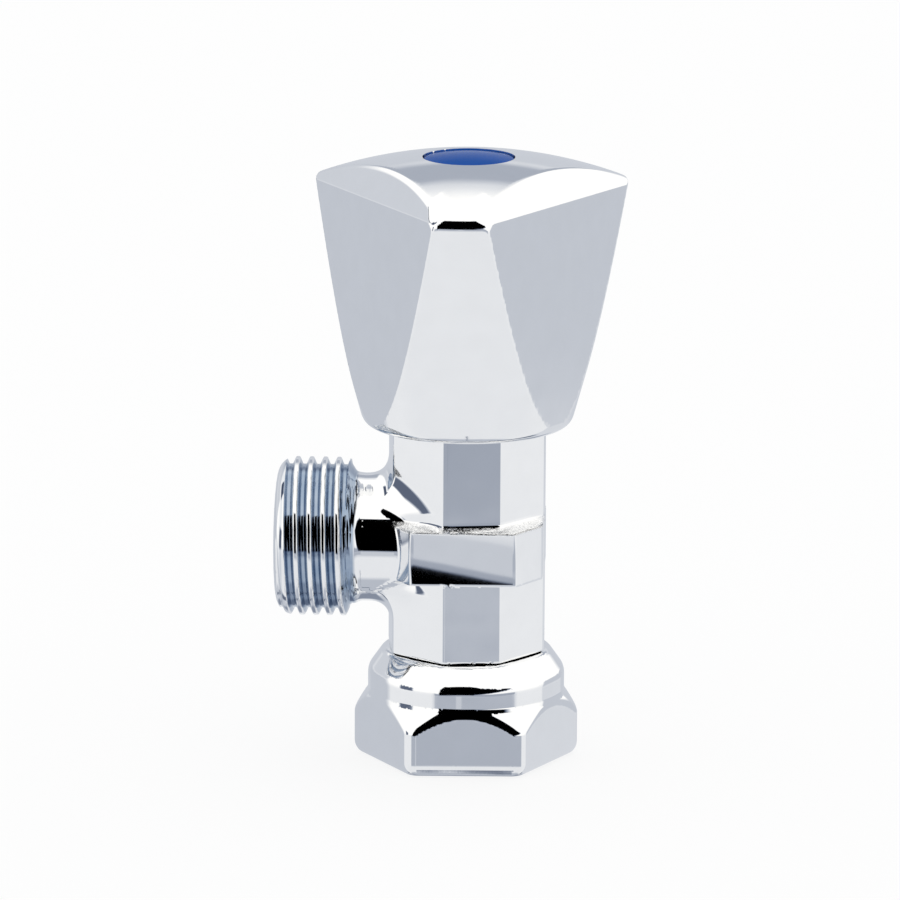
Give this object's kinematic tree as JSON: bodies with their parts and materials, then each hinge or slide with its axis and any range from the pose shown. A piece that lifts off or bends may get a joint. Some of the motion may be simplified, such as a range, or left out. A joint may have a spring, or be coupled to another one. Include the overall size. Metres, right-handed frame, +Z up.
{
  "type": "angle stop valve",
  "caption": "Angle shut-off valve with a swivel union nut below, a threaded side outlet and a three-cornered handle that lifts a washer off its seat.",
  "frame": {"origin": "on the column axis at the bottom face of the union nut", "axes": "+Z up along the spindle to the index cap, outlet along -X, front of the handle and of the bare pad along -Y"},
  "size_m": [0.0457, 0.0363, 0.0808],
  "materials": {
    "body_chrome": "polished chrome plate on forged brass",
    "nut_chrome": "polished chrome plate on forged brass",
    "handle_chrome": "polished chrome plate on die-cast zinc",
    "turned_brass": "as turned",
    "spring_steel": "stainless spring steel",
    "gasket_rubber": "moulded black rubber",
    "glide_plastic": "natural acetal",
    "blue_plastic": "glossy blue plastic"
  },
  "bodies": {
    "valve": {"valve_body": "body_chrome", "inlet_tail": "turned_brass", "retaining_ring": "spring_steel", "inlet_gasket": "gasket_rubber", "bonnet": "turned_brass", "bonnet_gasket": "gasket_rubber", "thrust_washer": "glide_plastic", "slip_washer": "glide_plastic"},
    "handle_unit": {"handle": "handle_chrome", "spline_insert": "glide_plastic", "lock_washer": "spring_steel", "handle_screw": "spring_steel", "index_cap": "blue_plastic", "spindle": "turned_brass", "oring_lower": "gasket_rubber", "oring_upper": "gasket_rubber", "stem_circlip": "spring_steel"},
    "plunger_unit": {"plunger": "turned_brass", "seat_washer": "gasket_rubber", "washer_screw": "turned_brass"},
    "nut_unit": {"union_nut": "nut_chrome"}
  },
  "joints": [
    {"name": "handle_turn", "type": "hinge", "parent": "valve", "child": "handle_unit", "pos_m": [0, 0, 0.05], "axis": [0, 0, 1], "range_deg": [0, 900]},
    {"name": "plunger_lift", "type": "slide", "parent": "valve", "child": "plunger_unit", "axis": [0, 0, 1], "range_m": [0, 0.0038]},
    {"name": "nut_spin", "type": "hinge", "parent": "valve", "child": "nut_unit", "pos_m": [0, 0, 0.007], "axis": [0, 0, 1], "continuous": true}
  ],
  "couplings": [
    {"joint": "plunger_lift", "follows": "handle_turn", "m_per_rad": 0.00023873}
  ]
}
